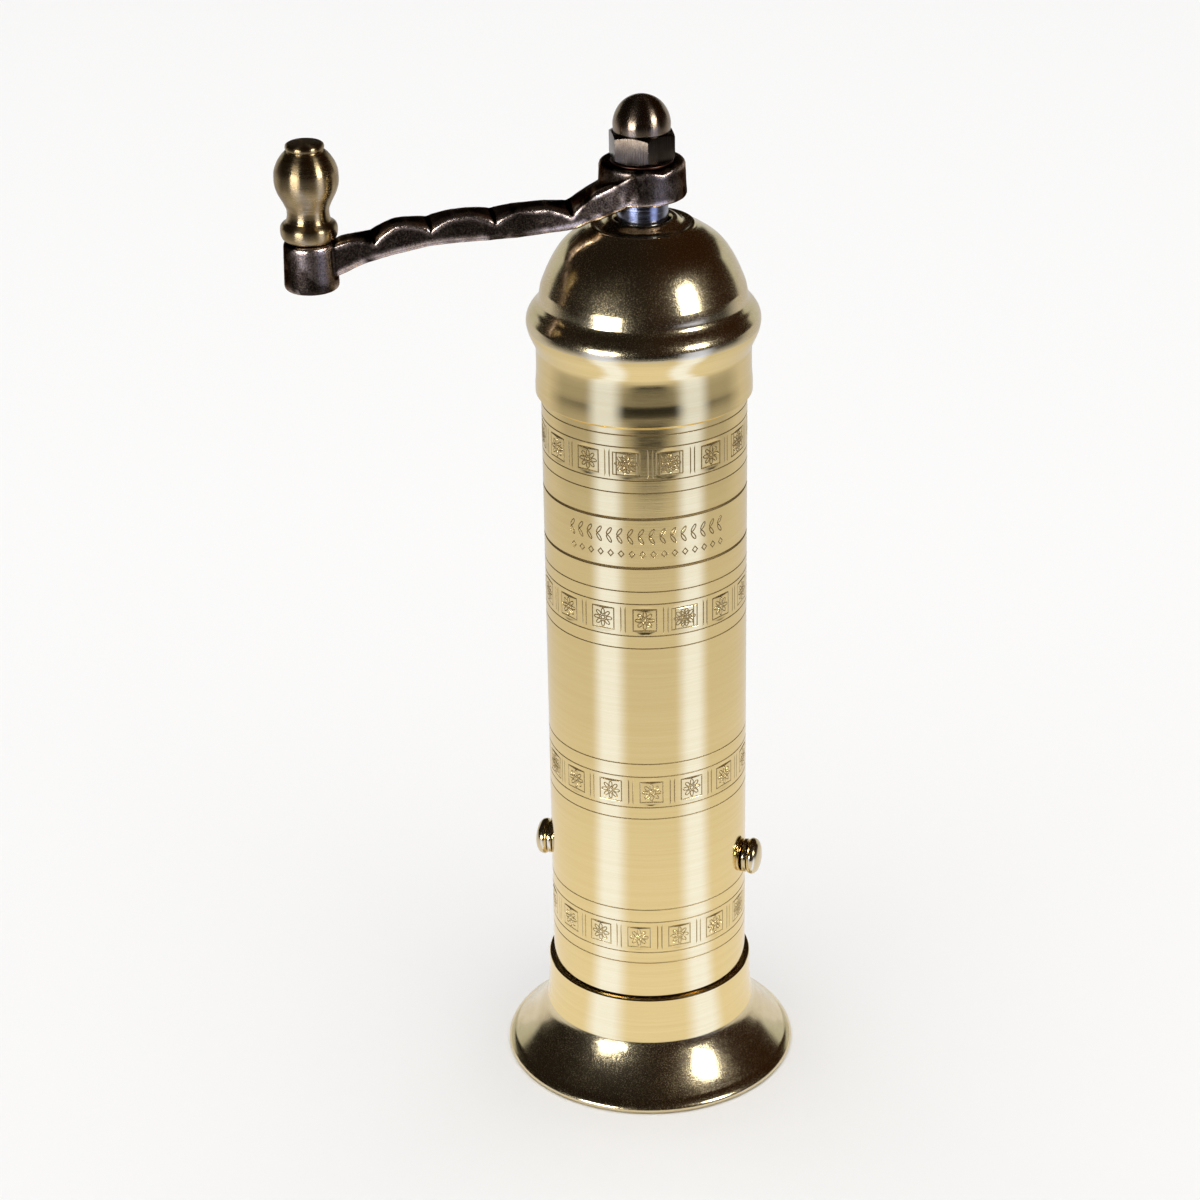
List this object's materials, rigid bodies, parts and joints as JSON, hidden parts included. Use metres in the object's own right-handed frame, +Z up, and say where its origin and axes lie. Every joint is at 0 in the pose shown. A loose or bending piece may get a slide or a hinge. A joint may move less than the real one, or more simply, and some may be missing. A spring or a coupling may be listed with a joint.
{
  "type": "hand-cranked pepper mill",
  "caption": "Tall round brass pepper mill with a flared foot, engraved bands, a domed lid, a cast bronze crank with a turned knob, and an adjustable burr set inside.",
  "frame": {"origin": "bottom centre of the whole object's box, on the surface the foot stands on; the mill's own axis stands at x = 0.019635 m, y = 0, because the crank reaches further out than the foot", "axes": "+Z up along the mill's axis, -X from that axis towards the crank's knob, -Y towards the front"},
  "size_m": [0.0992, 0.06, 0.2069],
  "materials": {
    "satin_brass": "satin, brushed round the axis",
    "polished_brass": "polished",
    "aged_brass": "satin, darkened with age",
    "cast_bronze": "cast, brown, worn bright on its edges",
    "dark_bronze": "brown, brushed on the flats and polished on the dome",
    "bright_steel": "turned and ground",
    "burr_steel": "hardened, dark"
  },
  "bodies": {
    "body": {"foot": "polished_brass", "body_tube": "satin_brass", "burr_housing": "aged_brass", "outer_burr": "burr_steel", "lower_bridge": "bright_steel", "bridge_screw_right": "bright_steel", "bridge_screw_left": "bright_steel", "side_screw_right": "polished_brass", "side_screw_left": "polished_brass", "side_collar_right": "polished_brass", "side_collar_left": "polished_brass", "burr_spring": "bright_steel", "lock_spring": "bright_steel"},
    "lid": {"dome_lid": "polished_brass"},
    "thrust": {"thrust_ball": "bright_steel"},
    "adjuster": {"adjusting_screw": "aged_brass"},
    "rotor": {"drive_shaft": "bright_steel", "guide_bush": "bright_steel", "bush_pin": "bright_steel", "inner_burr": "burr_steel", "burr_pin": "bright_steel"},
    "crank": {"crank_arm": "cast_bronze", "knob_pin": "bright_steel"},
    "knob": {"knob": "aged_brass"},
    "washer": {"spring_washer": "bright_steel"},
    "nut": {"acorn_nut": "dark_bronze"}
  },
  "joints": [
    {"name": "lid_lift", "type": "slide", "parent": "body", "child": "lid", "axis": [0, 0, 1], "range_m": [0, 0.06]},
    {"name": "grind_set", "type": "slide", "parent": "body", "child": "thrust", "axis": [0, 0, 1], "range_m": [-0.0012, 0.0006], "deforming": ["burr_spring", "lock_spring"]},
    {"name": "adjust_turn", "type": "hinge", "parent": "thrust", "child": "adjuster", "pos_m": [0.01963, 0, 0.014], "axis": [0, 0, 1], "range_deg": [-540.01, 270.01]},
    {"name": "crank_turn", "type": "hinge", "parent": "thrust", "child": "rotor", "pos_m": [0.01963, 0, 0.048], "axis": [0, 0, 1], "continuous": true},
    {"name": "crank_lift", "type": "slide", "parent": "rotor", "child": "crank", "axis": [0, 0, 1], "range_m": [0, 0.06]},
    {"name": "knob_spin", "type": "hinge", "parent": "crank", "child": "knob", "pos_m": [-0.04346, 0, 0.1797], "axis": [0, 0, 1], "continuous": true},
    {"name": "nut_unscrew", "type": "hinge", "parent": "crank", "child": "washer", "pos_m": [0.01963, 0, 0.1942], "axis": [0, 0, 1], "range_deg": [0, 1800.01]},
    {"name": "nut_rise", "type": "slide", "parent": "washer", "child": "nut", "axis": [0, 0, 1], "range_m": [0, 0.004]}
  ],
  "couplings": [
    {"joint": "adjust_turn", "follows": "grind_set", "rad_per_m": 7854},
    {"joint": "crank_lift", "follows": "lid_lift", "ratio": 1},
    {"joint": "nut_unscrew", "follows": "nut_rise", "rad_per_m": 7854}
  ]
}
